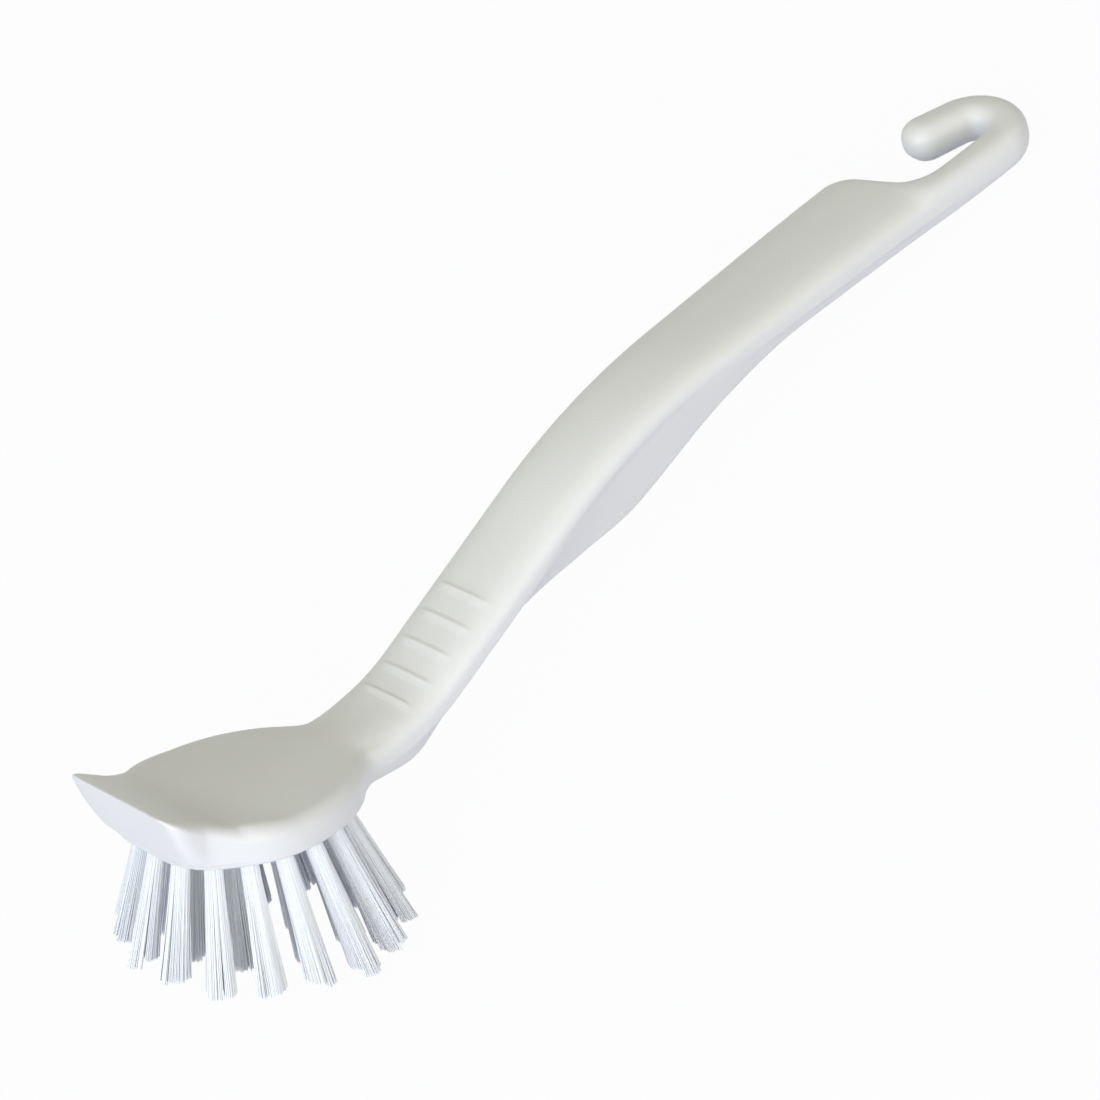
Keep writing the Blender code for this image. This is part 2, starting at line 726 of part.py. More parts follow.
def lay_down(body, pieces, parts):
    """Tips the brush to rest on its hook and its rear tufts, the middle of its footprint at the origin."""
    table = bpy.data.objects.new("lying_brush", None)
    parts.objects.link(table)
    tilt = Matrix.Rotation(rest_tilt(body, pieces), 4, "Y")
    floor = min((tilt @ corner).z for corner in corners_of(body))
    for piece in pieces:
        press_flat(piece, tilt, floor)
    points = [tilt @ corner for made in [body] + pieces for corner in corners_of(made)]
    spans = [(min(p[i] for p in points), max(p[i] for p in points)) for i in range(2)]
    middle = Vector((sum(spans[0]) / 2, sum(spans[1]) / 2, floor))
    for made in [body] + pieces:
        made.parent = table
    table.matrix_world = Matrix.Translation(-middle) @ tilt


def main():
    for old in list(bpy.data.objects):
        bpy.data.objects.remove(old)
    parts = new_collection("cleaning_brush")
    tools = new_collection("tools")
    plastic = new_material("white_polypropylene", (0.86, 0.86, 0.83), 0.38)
    bristle = new_material("nylon_bristle", (0.85, 0.88, 0.92), 0.45)
    steel = new_material("anchor_steel", (0.60, 0.60, 0.58), 0.35, metallic=1.0)
    places = tuft_places()
    body = make_body(parts, tools, places, plastic)
    pieces = make_tufts(parts, tools, places, bristle, steel)
    bpy.context.view_layer.update()
    lay_down(body, pieces, parts)
    bpy.context.view_layer.update()


main()
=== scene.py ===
# %% [markdown]
# # A washing-up brush, dressed for its portrait
#
# The brush is one white moulding with a scraper, a ribbed neck and a hanging hook, and it carries 29
# tufts of folded nylon filament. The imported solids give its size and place. Here the moulding is skinned
# again from nearly the same rules with many more sections, and each plain tuft becomes a bundle of separate
# filaments.

# %% Load the fixed frame
import math

import bmesh
import bpy
from mathutils import Matrix, Vector


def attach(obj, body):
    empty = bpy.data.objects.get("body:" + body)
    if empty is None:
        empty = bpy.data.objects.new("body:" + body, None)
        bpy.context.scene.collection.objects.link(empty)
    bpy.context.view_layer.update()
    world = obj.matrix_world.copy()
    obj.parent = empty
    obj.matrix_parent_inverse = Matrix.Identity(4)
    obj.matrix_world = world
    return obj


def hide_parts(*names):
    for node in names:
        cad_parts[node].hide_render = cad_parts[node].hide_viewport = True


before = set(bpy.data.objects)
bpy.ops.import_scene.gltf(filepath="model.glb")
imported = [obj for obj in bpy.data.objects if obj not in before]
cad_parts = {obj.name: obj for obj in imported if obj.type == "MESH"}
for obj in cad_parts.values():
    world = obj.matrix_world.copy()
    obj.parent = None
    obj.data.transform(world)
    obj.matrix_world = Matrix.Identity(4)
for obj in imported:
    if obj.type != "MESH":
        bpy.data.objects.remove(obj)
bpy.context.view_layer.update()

# %% [markdown]
# ## Sizes
#
# The sizes are in metres. They describe the brush with its head level, X from the scraper's lip to the
# hook, Y towards the side that the hook opens to, and the bristle face at Z = 0. Most are those of the
# solid model. The rounding of rim and lip, the blend behind the scraper, the drop of a rib and the hook's
# bar, arm and tip were refined further against the photograph. The rounding of the face's edge, the blend
# at the head's foot and the stronger lean of the neck's walls are here alone.

# %% Sizes of the head and the scraper
HEAD_WIDTH = 0.0458
HEAD_BACK_LENGTH = 0.0310
HEAD_THICKNESS = 0.0090
HEAD_CROWN = 0.0012
RIM_ROUND = 0.0038
FOOT_ROUND = 0.0011
LIP_WIDTH = 0.0267
LIP_HEIGHT = 0.0158
LIP_ROUND = 0.0020
LIP_CORNER_LENGTH = 0.0036
SCOOP_WIDTH = 0.0344
SCOOP_FOOT_WIDTH = 0.0300
SCOOP_LENGTH = 0.0158
SCOOP_DISH = 0.0008
SCOOP_POWER = 1.25
FACE_FOOT = 0.0074
FACE_FOOT_WIDTH = 0.0060
FACE_CORNER_LENGTH = 0.0080
FACE_BULGE = 0.0058
FACE_SPREAD_POWER = 0.3
FACE_EDGE_ROUND = 0.0008
BILL_CORNER_POWER = 2.3
FOOT_BLEND = 0.0062
SCOOP_BLEND = 0.0105
NECK_BLEND = 0.0038
HEAD_CENTRE = FACE_FOOT + HEAD_WIDTH / 2
HEAD_BACK = HEAD_CENTRE + HEAD_BACK_LENGTH

# %% Sizes of the neck, the handle and the ribs
NECK_RUNOUT = 0.0089
NECK_SLOPE = math.radians(37.5)
NECK_BEND_RADIUS = 0.0420
NECK_RUN = 0.0665
BACK_BEND_RADIUS = 0.1400
TAIL_SLOPE = math.radians(16.45)
NECK_CORNER = HEAD_BACK + NECK_RUNOUT
WIDTHS = ((-0.0060, 0.0222), (0.0150, 0.0221), (0.0800, 0.0230), (0.1484, 0.0272))
TAIL_AT, TAIL_WIDTH = WIDTHS[-1]
NECK_DEPTH = 0.0095
NECK_DEPTH_RUN = 0.0205
TAIL_DEPTH = 0.0101
BELLY_DEPTH = 0.0098
BELLY_START = 0.0234
BELLY_PEAK = 0.0604
BELLY_END = 0.1164
SHOULDER_DEPTH = 0.0046
CREASE_DROP = 0.0016
CREASE_INSET = 0.0006
NECK_INSET = 0.0028
LEAN_START = 0.0062
LEAN_RUN = 0.0095
KEEL_INSET = 0.0009
KEEL_ROUND = 0.0022
BELLY_INSET = 0.0021
BACK_POWER = 0.72
RIB_COUNT = 5
RIB_FIRST_AT = 0.0031
RIB_PITCH = 0.0057
RIBS = [RIB_FIRST_AT + RIB_PITCH * index for index in range(RIB_COUNT)]
RIB_HEIGHT = 0.00038
RIB_RISE = 0.0017
RIB_DROP = 0.0008
RIB_REACH = 0.78
RIB_FADE = 0.34
RIB_POWER = 1.4

# %% Sizes of the hook
HOOK_CORNER_RADIUS = 0.0052
HOOK_NOTCH_RADIUS = 0.0096
HOOK_STEP_LENGTH = 0.0020
HOOK_AT = 0.1804
HOOK_BAR_WIDTH = 0.0091
HOOK_BAR_DEPTH = 0.0093
HOOK_BEND_RADIUS = 0.0075
HOOK_TURN = math.radians(168.0)
HOOK_ARM_LENGTH = 0.0082
HOOK_ARM_WIDTH = 0.0099
HOOK_TIP_LENGTH = 0.0056
HOOK_LIFT = 0.0026
HOOK_OFFSET = 0.0113
BAR_POWER = 0.8
TIP_POWER = 2.2
TIP_BLUNT_SHARE = 0.12
ARC_SHARE = 0.96

# %% [markdown]
# ## How the brush lies
#
# The solid model lies on its hook and its rear tufts, so its head is tipped back. One matrix carries
# everything here from the level drawing to that place.

# %% The matrix that lays the brush down
REST_TILT = math.radians(30.696629)
REST_PLACE = Vector((-0.132476, -0.000007, 0.057981))
REST = Matrix.Translation(REST_PLACE) @ Matrix.Rotation(REST_TILT, 4, "Y")
print("head tipped back by", round(math.degrees(REST_TILT), 2), "degrees")


# %% [markdown]
# ## The moulding's rules
#
# A sculpted handle could be pushed about by hand, but this one has to fit its solid. So it is a loft: a
# rule gives the section at any place along the back, and a skin joins the sections. The first rules are
# small curves. The smooth ones start and end level, so that no kink shows in a reflection.

# %% Curves that the rules share
def eased(share):
    share = min(max(share, 0), 1)
    return share * share * (3 - 2 * share)


def mix(a, b, share):
    return a + (b - a) * share


def larger(a, b, blend):
    """The larger of two lengths, rounded over where they cross."""
    near = max(blend - abs(a - b), 0) / blend
    return max(a, b) + near * near * blend / 4


def between(place, places, values):
    """Straight runs through (place, value) pairs. The first run also goes on before its start."""
    for start, end, low, high in zip(places, places[1:], values, values[1:]):
        if place <= end:
            return mix(low, high, (place - start) / (end - start))
    return values[-1]


def through(stations, place):
    """A smooth curve through (place, value) stations, level at both ends and outside them."""
    last = len(stations) - 1
    slopes = [0] * (last + 1)
    for i in range(1, last):
        run = stations[i + 1][0] - stations[i - 1][0]
        slopes[i] = (stations[i + 1][1] - stations[i - 1][1]) / run
    if place <= stations[0][0]:
        return stations[0][1]
    for i in range(last):
        (start, low), (end, high) = stations[i], stations[i + 1]
        if place <= end:
            share, run = (place - start) / (end - start), end - start
            bend = slopes[i] * (1 - share) - slopes[i + 1] * share
            return mix(low, high, eased(share)) + run * share * (1 - share) * bend
    return stations[last][1]


# %% The back line, which two arcs bend
def bend_of(corner, before, after, radius):
    """Start and end of the arc that rounds a corner between two slopes, and its radius with a sign."""
    tangent = radius * abs(math.tan((after - before) / 2))
    start = corner - tangent * Vector((math.cos(before), math.sin(before)))
    end = corner + tangent * Vector((math.cos(after), math.sin(after)))
    return start, end, math.copysign(radius, after - before)


NECK_START = Vector((NECK_CORNER, HEAD_THICKNESS))
BACK_START = NECK_START + NECK_RUN * Vector((1, math.tan(NECK_SLOPE)))
NECK_BEND = bend_of(NECK_START, 0, NECK_SLOPE, NECK_BEND_RADIUS)
BACK_BEND = bend_of(BACK_START, NECK_SLOPE, TAIL_SLOPE, BACK_BEND_RADIUS)


def back_line(x):
    """Height and slope of the line down the middle of the back."""
    slope, corner = 0, Vector((0, HEAD_THICKNESS))
    for (start, end, radius), after in ((NECK_BEND, NECK_SLOPE), (BACK_BEND, TAIL_SLOPE)):
        if x < start.x:
            break
        if x < end.x:
            angle = math.asin(math.sin(slope) + (x - start.x) / radius)
            return start.y + radius * (math.cos(slope) - math.cos(angle)), angle
        slope, corner = after, end
    return corner.y + (x - corner.x) * math.tan(slope), slope


print("height of the back at the tail:", round(back_line(NECK_CORNER + TAIL_AT)[0], 4))


# %% [markdown]
# ## Outlines
#
# Seen from above, the head is an egg that a scraper with a straight front edge grows out of. The neck
# leaves it through a soft corner, widens to the tail and steps in to the hook's bar on one side only.

# %% Half widths
def head_half(x):
    reach = HEAD_WIDTH / 2 if x < HEAD_CENTRE else HEAD_BACK_LENGTH
    share = min(abs(x - HEAD_CENTRE) / reach, 1)
    return HEAD_WIDTH / 2 * math.sqrt(1 - share * share)


def bill_half(x, share):
    """Half the scraper's width, at a share of its height."""
    front = FACE_FOOT * (1 - share)
    spread = share ** FACE_SPREAD_POWER
    reach = mix(FACE_CORNER_LENGTH, LIP_CORNER_LENGTH, spread)
    along = 1 - min(max((x - front) / reach, 0), 1)
    straight = mix(FACE_FOOT_WIDTH, LIP_WIDTH, spread) + FACE_BULGE * 4 * share * (1 - share)
    wide = mix(SCOOP_FOOT_WIDTH, SCOOP_WIDTH, spread)
    return mix(straight, wide, (1 - along ** BILL_CORNER_POWER) ** (1 / BILL_CORNER_POWER)) / 2


def edge_half(x, near):
    """The neck and the handle on one side. The near side runs on into the hook's bar."""
    stations = [(NECK_CORNER + at, width / 2) for at, width in WIDTHS]
    if near:
        stations.append((NECK_CORNER + HOOK_AT, HOOK_OFFSET + HOOK_BAR_WIDTH / 2))
    return through(stations, x)


def outline_half(x, height):
    if x >= HEAD_CENTRE:
        return larger(edge_half(x, False), head_half(x), NECK_BLEND)
    share = min(max(height / LIP_HEIGHT, 0), 1)
    return larger(bill_half(x, share), head_half(x), mix(FOOT_BLEND, SCOOP_BLEND, share))


def far_edge(x):
    """The tail's far edge: a rounded corner, a step and a hollow curve down to the hook's bar."""
    x -= NECK_CORNER + TAIL_AT
    bar = HOOK_BAR_WIDTH / 2 - HOOK_OFFSET
    corner_y = TAIL_WIDTH / 2 - HOOK_CORNER_RADIUS
    notch_x = HOOK_CORNER_RADIUS + HOOK_STEP_LENGTH + HOOK_NOTCH_RADIUS
    notch_y = bar + HOOK_NOTCH_RADIUS
    corner_end = HOOK_CORNER_RADIUS * ARC_SHARE
    notch_start = notch_x - HOOK_NOTCH_RADIUS * ARC_SHARE
    rise = math.sqrt(1 - ARC_SHARE * ARC_SHARE)
    if x < corner_end:
        return corner_y + math.sqrt(HOOK_CORNER_RADIUS ** 2 - max(x, 0) ** 2)
    if x > notch_x:
        return bar
    if x > notch_start:
        return notch_y - math.sqrt(HOOK_NOTCH_RADIUS ** 2 - (x - notch_x) ** 2)
    high = corner_y + HOOK_CORNER_RADIUS * rise
    low = notch_y - HOOK_NOTCH_RADIUS * rise
    return mix(high, low, (x - corner_end) / (notch_start - corner_end))


print("head", HEAD_WIDTH, "neck", round(2 * edge_half(NECK_CORNER, False), 4), "metres wide")


# %% [markdown]
# ## Sections
#
# Every half section is one path, walked by a number u that runs from 0 in the middle of the top to 15 in
# the middle of the underside. Top, wall, foot and underside come at much the same u in a head section and
# in a handle section, so the one can melt into the other point by point.

# %% Section of the head
HALF_POINTS = 64
WALK_END = 15
WALK = [WALK_END * i / HALF_POINTS for i in range(HALF_POINTS + 1)]
TOP_STOPS = (0, 0.45, 0.8, 1)
WALL_STOPS = (1, 0.7, 0.45, 0.25, 0.1, 0)


def scoop_rise(x):
    share = 1 - min(x / SCOOP_LENGTH, 1)
    return (LIP_HEIGHT - HEAD_THICKNESS) * math.copysign(abs(share) ** SCOOP_POWER, share)


def head_points(x):
    """At the lip a section leans like the scraper's face, and it stands upright from the head's centre on."""
    scoop, crown = eased(x / SCOOP_LENGTH), eased(x / SCOOP_LENGTH - 1)
    rim = mix(LIP_ROUND, RIM_ROUND, scoop)
    edge = HEAD_THICKNESS - HEAD_CROWN * crown + scoop_rise(x)
    middle = edge + mix(-SCOOP_DISH * scoop, HEAD_CROWN, crown)
    lean = FACE_FOOT * max(1 - x / HEAD_CENTRE, 0)

    def place(height):
        return x + lean * (1 - height / LIP_HEIGHT)

    wide, foot = outline_half(place(edge), edge), outline_half(place(0), 0)
    points = []
    for u in WALK:
        if u <= 3:
            share = between(u, range(4), TOP_STOPS)
            y, z = share * (wide - rim), mix(middle, edge, share * share)
        elif u <= 6:
            turn = math.pi / 2 * (6 - u) / 3
            z = edge - rim * (1 - math.sin(turn))
            y = outline_half(place(z), z) - rim * (1 - math.cos(turn))
        elif u <= 11:
            share = between(u, range(6, 12), WALL_STOPS)
            z = mix(FOOT_ROUND, edge - rim, share)
            y = mix(outline_half(place(z), z), foot, eased(u - 10))
        elif u <= 13:
            turn = math.pi / 2 * (u - 11) / 2
            y, z = foot - FOOT_ROUND * (1 - math.cos(turn)), FOOT_ROUND * (1 - math.sin(turn))
        else:
            y, z = (foot - FOOT_ROUND) * (WALK_END - u) / 2, 0
        points.append(Vector((place(z), y, z)))
    return points


# %% Section of the handle, with its crease and its belly, and of the hook's bar
BACK_STOPS = [math.radians(angle) for angle in (0, 22, 40, 55, 68, 79, 90)]
FLANK_STOPS = (0, 0.3, 0.65, 1)


def belly(x):
    x -= NECK_CORNER
    rise = eased((x - BELLY_START) / (BELLY_PEAK - BELLY_START))
    fall = eased((BELLY_END - x) / (BELLY_END - BELLY_PEAK))
    return BELLY_DEPTH * min(rise, fall)


def past_neck(x):
    """How far a place is along the belly, as a share."""
    return (x - NECK_CORNER - BELLY_START) / (BELLY_END - BELLY_START)


def handle_depth(x):
    return mix(NECK_DEPTH, TAIL_DEPTH, eased(past_neck(x))) + belly(x)


def keel_inset(x):
    """The neck's walls lean in most. The lean comes in behind the head and is gone at the tail."""
    lean = eased((x - HEAD_BACK - LEAN_START) / LEAN_RUN) * (1 - eased(past_neck(x)))
    return mix(KEEL_INSET, NECK_INSET, lean)


def handle_profile(half, depth, inset, swell):
    """Half a section of the handle. The swell is 0 without a belly and 1 where the belly is deepest."""
    shoulder = min(SHOULDER_DEPTH, depth / 2)
    flank = mix(inset, BELLY_INSET, swell)
    crease = CREASE_INSET * swell
    points = []
    for u in WALK:
        if u <= 6:
            turn = between(u, range(7), BACK_STOPS)
            y, z = half * math.sin(turn) ** BACK_POWER, -shoulder * (1 - abs(math.cos(turn)) ** BACK_POWER)
        elif u <= 10:
            share = max(between(u, range(7, 11), FLANK_STOPS), 0)
            over = max(7 - u, 0)
            y = half - (mix(crease, flank, share) - crease * over)
            z = mix(-shoulder - CREASE_DROP, KEEL_ROUND - depth, share) + CREASE_DROP * over
        elif u <= 13:
            turn = math.pi / 2 * (u - 10) / 3
            y = half - flank - KEEL_ROUND * (1 - math.cos(turn))
            z = -depth + KEEL_ROUND * (1 - math.sin(turn))
        else:
            y, z = (half - flank - KEEL_ROUND) * (WALK_END - u) / 2, -depth
        points.append((y, z))
    return points


def bar_profile(half, depth):
    """Half a section of the hook's bar, a little squarer than an ellipse."""
    points = []
    for u in WALK:
        turn = math.pi * u / WALK_END
        across = abs(math.sin(turn)) ** BAR_POWER if 0 < u < WALK_END else 0
        down = math.copysign(abs(math.cos(turn)) ** BAR_POWER, math.cos(turn))
        points.append((half * across, depth / 2 * (down - 1)))
    return points


# %% [markdown]
# ## Ribs
#
# Five low ribs across the neck keep a wet finger from slipping. They could be bars joined on by a
# Boolean, but then their feet would be sharp. Here each is a swelling of the section itself. It rises
# gently from the head's side, drops quickly towards the handle and fades out at the shoulders.

# %% Height of the ribs
def rib_swell(x, across):
    """How far the back stands proud at a place, where across is the share of the half width."""
    for at in RIBS:
        off = x - NECK_CORNER - at
        share = 1 + off / RIB_RISE if off < 0 else 1 - off / RIB_DROP
        if share > 0:
            return RIB_HEIGHT * share ** RIB_POWER * eased((RIB_REACH - abs(across)) / RIB_FADE)
    return 0


# %% Any section of the body, closed and placed
def mirrored(points, side):
    middle = points[0].dot(side)
    return points + [p - side * 2 * (p.dot(side) - middle) for p in points[1:-1]][::-1]


def placed(profile, origin, side, up):
    return [origin + side * y + up * z for y, z in profile]


def turned(point, origin, side, up):
    """A point of the level head, carried up to where the back line has risen and turned to."""
    above = point.z - HEAD_THICKNESS
    if above < 0:
        above *= origin.z / up.z / HEAD_THICKNESS
    return origin + side * point.y + up * above + Vector((point.x - origin.x, 0, 0))


def body_ring(x):
    height, slope = back_line(x)
    up, side = Vector((-math.sin(slope), 0, math.cos(slope))), Vector((0, 1, 0))
    origin = Vector((x, 0, height))
    depth = mix(height / math.cos(slope), handle_depth(x), eased((x - HEAD_BACK) / NECK_DEPTH_RUN))
    if x < NECK_CORNER:
        neck = placed(handle_profile(outline_half(x, 0), depth, keel_inset(x), 0), origin, side, up)
        start = HEAD_BACK - NECK_RUNOUT
        share = eased((x - start) / (NECK_CORNER - start))
        head = [turned(point, origin, side, up) for point in head_points(x)]
        return mirrored([a.lerp(b, share) for a, b in zip(head, neck)], side)
    near, far = edge_half(x, True), edge_half(x, False)
    if x > NECK_CORNER + TAIL_AT:
        far = far_edge(x)
    half = (far + near) / 2
    start = NECK_CORNER + TAIL_AT + HOOK_CORNER_RADIUS
    share = eased((x - start) / (NECK_CORNER + HOOK_AT - start))
    handle = handle_profile(half, depth, keel_inset(x), belly(x) / BELLY_DEPTH)
    bar = bar_profile(half, HOOK_BAR_DEPTH)
    profile = [(mix(a, c, share), mix(b, d, share)) for (a, b), (c, d) in zip(handle, bar)]
    profile = [(y, z + rib_swell(x, y / half) if u < 6 else z) for u, (y, z) in zip(WALK, profile)]
    return mirrored(placed(profile, origin + side * (far - near) / 2, side, up), side)


# %% [markdown]
# ## Sections along the brush
#
# Sections stand close together where the outline or the surface turns quickly: at the scraper, over the
# ribs and round the tail's corner. The first few are drawn in a little, which rounds the scraper's edge.

# %% Places of the sections
SCOOP_STEP = 0.00045
HEAD_STEP = 0.0010
RUNOUT_STEP = 0.0007
RIB_STEP = 0.00016
HANDLE_STEP = 0.0014
CORNER_STEP = 0.0003
BAR_STEP = 0.0010
EDGE_SHARES = (0, 0.15, 0.35, 0.6, 0.8)


def steps(start, end, step):
    count = max(round((end - start) / step), 1)
    return [mix(start, end, i / count) for i in range(count)]


def body_places():
    tail = NECK_CORNER + TAIL_AT
    notch = tail + HOOK_CORNER_RADIUS + HOOK_STEP_LENGTH + HOOK_NOTCH_RADIUS
    ribbed = NECK_CORNER + RIBS[0] - RIB_RISE, NECK_CORNER + RIBS[-1] + RIB_DROP
    return (
        steps(FACE_EDGE_ROUND, SCOOP_LENGTH, SCOOP_STEP)
        + steps(SCOOP_LENGTH, HEAD_BACK - NECK_RUNOUT, HEAD_STEP)
        + steps(HEAD_BACK - NECK_RUNOUT, ribbed[0], RUNOUT_STEP)
        + steps(*ribbed, RIB_STEP)
        + steps(ribbed[1], tail, HANDLE_STEP)
        + steps(tail, notch, CORNER_STEP)
        + steps(notch, NECK_CORNER + HOOK_AT, BAR_STEP)
    )


def drawn_in(ring, inset):
    """A flat ring drawn in by a distance, square to its outline."""
    across = (ring[len(ring) // 4] - ring[0]).cross(ring[len(ring) // 2] - ring[0]).normalized()
    middle = sum(ring, Vector()) / len(ring)
    drawn = []
    for before, point, after in zip(ring[-1:] + ring[:-1], ring, ring[1:] + ring[:1]):
        inward = across.cross(after - before).normalized()
        if inward.dot(middle - point) < 0:
            inward.negate()
        drawn.append(point + inward * inset)
    return drawn


def front_rings():
    """The scraper's face and the rounding round its edge."""
    rings = []
    for share in EDGE_SHARES:
        turn = math.pi / 2 * share
        x = FACE_EDGE_ROUND * (1 - math.cos(turn))
        rings.append(drawn_in(body_ring(x), FACE_EDGE_ROUND * (1 - math.sin(turn))))
    return rings


# %% Sections round the hook
BEND_STEPS = 64
ARM_STEPS = 8
TIP_STEPS = 14


def hook_rings():
    start_x = NECK_CORNER + HOOK_AT
    height, slope = back_line(start_x)
    along = Vector((math.cos(slope), 0, math.sin(slope)))
    up, side = Vector((-math.sin(slope), 0, math.cos(slope))), Vector((0, 1, 0))
    centre = Vector((start_x, HOOK_BEND_RADIUS - HOOK_OFFSET, height))
    bend_length = HOOK_BEND_RADIUS * HOOK_TURN
    path_length = bend_length + HOOK_ARM_LENGTH + HOOK_TIP_LENGTH
    rings = []

    def section(origin, inward, travelled, size):
        share = travelled / path_length
        half = mix(HOOK_BAR_WIDTH, HOOK_ARM_WIDTH, share) / 2 * size
        depth = mix(HOOK_BAR_DEPTH, HOOK_ARM_WIDTH, share)
        profile = [(y, z * size - depth * (1 - size) / 2) for y, z in bar_profile(half, depth)]
        rings.append(mirrored(placed(profile, origin + up * HOOK_LIFT * share, inward, up), inward))

    for step in range(BEND_STEPS + 1):
        turn = HOOK_TURN * step / BEND_STEPS
        inward = side * math.cos(turn) - along * math.sin(turn)
        section(centre - inward * HOOK_BEND_RADIUS, inward, HOOK_BEND_RADIUS * turn, 1)
    forward = along * math.cos(HOOK_TURN) + side * math.sin(HOOK_TURN)
    bend_end = centre - inward * HOOK_BEND_RADIUS
    for step in range(1, ARM_STEPS + 1):
        arm = HOOK_ARM_LENGTH * step / ARM_STEPS
        section(bend_end + forward * arm, inward, bend_length + arm, 1)
    for step in range(1, TIP_STEPS + 1):
        share = math.sin(math.pi / 2 * step / TIP_STEPS)
        out = HOOK_ARM_LENGTH + HOOK_TIP_LENGTH * share
        size = max((1 - share ** TIP_POWER) ** (1 / TIP_POWER), TIP_BLUNT_SHARE)
        section(bend_end + forward * out, inward, bend_length + out, size)
    return rings


rings = front_rings() + [body_ring(x) for x in body_places()] + hook_rings()
print("sections:", len(rings), "points in each:", len(rings[0]))


# %% [markdown]
# ## Skin
#
# The skin joins each section to the next with four-sided faces and closes both ends. The scraper's face
# is one flat polygon, so it stays perfectly flat and catches the light as one tone.

# %% Skin the sections
def skinned(name, rings):
    mesh = bmesh.new()
    loops = [[mesh.verts.new(REST @ point) for point in ring] for ring in rings]
    for first, second in zip(loops, loops[1:]):
        for i in range(len(first)):
            j = (i + 1) % len(first)
            mesh.faces.new((first[i], first[j], second[j], second[i]))
    caps = [mesh.faces.new(loops[0][::-1]), mesh.faces.new(loops[-1])]
    bmesh.ops.recalc_face_normals(mesh, faces=mesh.faces)
    for face in mesh.faces:
        face.smooth = face not in caps
    data = bpy.data.meshes.new(name)
    mesh.to_mesh(data)
    mesh.free()
    return data


def shown(name, data):
    made = bpy.data.objects.new(name, data)
    bpy.context.scene.collection.objects.link(made)
    return made


moulding = shown("moulding", skinned("moulding", rings))
print("moulding:", len(moulding.data.polygons), "faces")

# %% [markdown]
# ## Tufts in their holes
#
# The holes stand on three rings, and every tuft points away from one spot high above the head. That is
# what makes the bristles fan out.

# %% Places and directions of the tufts
HOLE_RADIUS = 0.00215
HOLE_DEPTH = 0.0062
HOLE_RIM = 0.0009
HOLE_SIDES = 32
OVERRUN = 0.0020
RING_BACK = 0.0026
FAN_FORWARD = 0.0066
FAN_HEIGHT = 0.0604
RING_CENTRE = HEAD_CENTRE + RING_BACK
OUTER_RING_RADIUS = HEAD_WIDTH / 2 - HOLE_RIM - HOLE_RADIUS
RINGS = ((17, 1.0, 0.0), (9, 0.66, 0.5), (3, 0.28, 0.5))
FAN = Vector((HEAD_CENTRE - FAN_FORWARD, 0, FAN_HEIGHT))


def tuft_places():
    """The mouth of every hole and the direction its tuft points in, in the level drawing."""
    places = []
    for count, share, turn in RINGS:
        for index in range(count):
            angle = 2 * math.pi * (index + turn) / count
            radius = OUTER_RING_RADIUS * share
            mouth = Vector((RING_CENTRE + radius * math.cos(angle), radius * math.sin(angle), 0))
            places.append((mouth, (mouth - FAN).normalized()))
    return places


tufts = tuft_places()
print("tufts:", len(tufts))

# %% [markdown]
# ## Blind holes
#
# Each tuft needs its hole, seen from below as a crisp rim round the filaments. A Boolean with one cutter
# for all the holes does it: the underside is flat there, so the cut leaves no marks in the shading.


# %% Cut the holes
def hole_cutter(places):
    mesh = bmesh.new()
    for mouth, along in places:
        turn = along.to_track_quat("-Z", "Y").to_matrix().to_4x4()
        middle = mouth - along * ((HOLE_DEPTH - OVERRUN) / 2)
        matrix = REST @ Matrix.Translation(middle) @ turn
        bmesh.ops.create_cone(
            mesh, cap_ends=True, segments=HOLE_SIDES, radius1=HOLE_RADIUS, radius2=HOLE_RADIUS,
            depth=HOLE_DEPTH + OVERRUN, matrix=matrix,
        )
    data = bpy.data.meshes.new("holes")
    mesh.to_mesh(data)
    mesh.free()
    return shown("holes", data)


def bake_modifiers(made):
    """Gives an object the mesh that its modifiers make, and takes them off."""
    bpy.context.view_layer.update()
    graph = bpy.context.evaluated_depsgraph_get()
    data = bpy.data.meshes.new_from_object(made.evaluated_get(graph))
    made.modifiers.clear()
    made.data = data


SHARP_ANGLE = math.radians(40)
cutter = hole_cutter(tufts)
boolean = moulding.modifiers.new("holes", "BOOLEAN")
boolean.operation, boolean.solver, boolean.object = "DIFFERENCE", "EXACT", cutter
bake_modifiers(moulding)
bpy.data.objects.remove(cutter)
moulding.data.set_sharp_from_angle(angle=SHARP_ANGLE)
print("moulding with its holes:", len(moulding.data.polygons), "faces")

# %% [markdown]
# ## A small language for node trees
#
# Shader maths reads badly as a list of links. A Wire wraps a socket, so that a + b or 1 - a adds the Math
# node by itself. A Tree wraps the whole tree. Its maths method makes the Math nodes that have no sign, such
# as a sine, and its add method makes every node, from its type, its settings and the values of its sockets.


# %% Sockets that can be added and multiplied
class Wire:
    def __init__(self, tree, socket):
        self.tree, self.socket = tree, socket

    def maths(self, operation, *values):
        vector = any(getattr(value, "is_vector", False) for value in values)
        return self.tree.maths(operation, *values, vector=vector)

    @property
    def is_vector(self):
        return self.socket.type == "VECTOR"

    def __add__(self, other):
        return self.maths("ADD", self, other)

    def __radd__(self, other):
        return self.maths("ADD", other, self)

    def __sub__(self, other):
        return self.maths("SUBTRACT", self, other)

    def __rsub__(self, other):
        return self.maths("SUBTRACT", other, self)

    def __mul__(self, other):
        if self.is_vector and not getattr(other, "is_vector", False):
            return self.tree.add("ShaderNodeVectorMath", {"operation": "SCALE"}, {0: self, "Scale": other})
        return self.maths("MULTIPLY", self, other)

    def __rmul__(self, other):
        return self * other

    def __truediv__(self, other):
        return self.maths("DIVIDE", self, other)

    def __pow__(self, other):
        return self.maths("POWER", self, other)


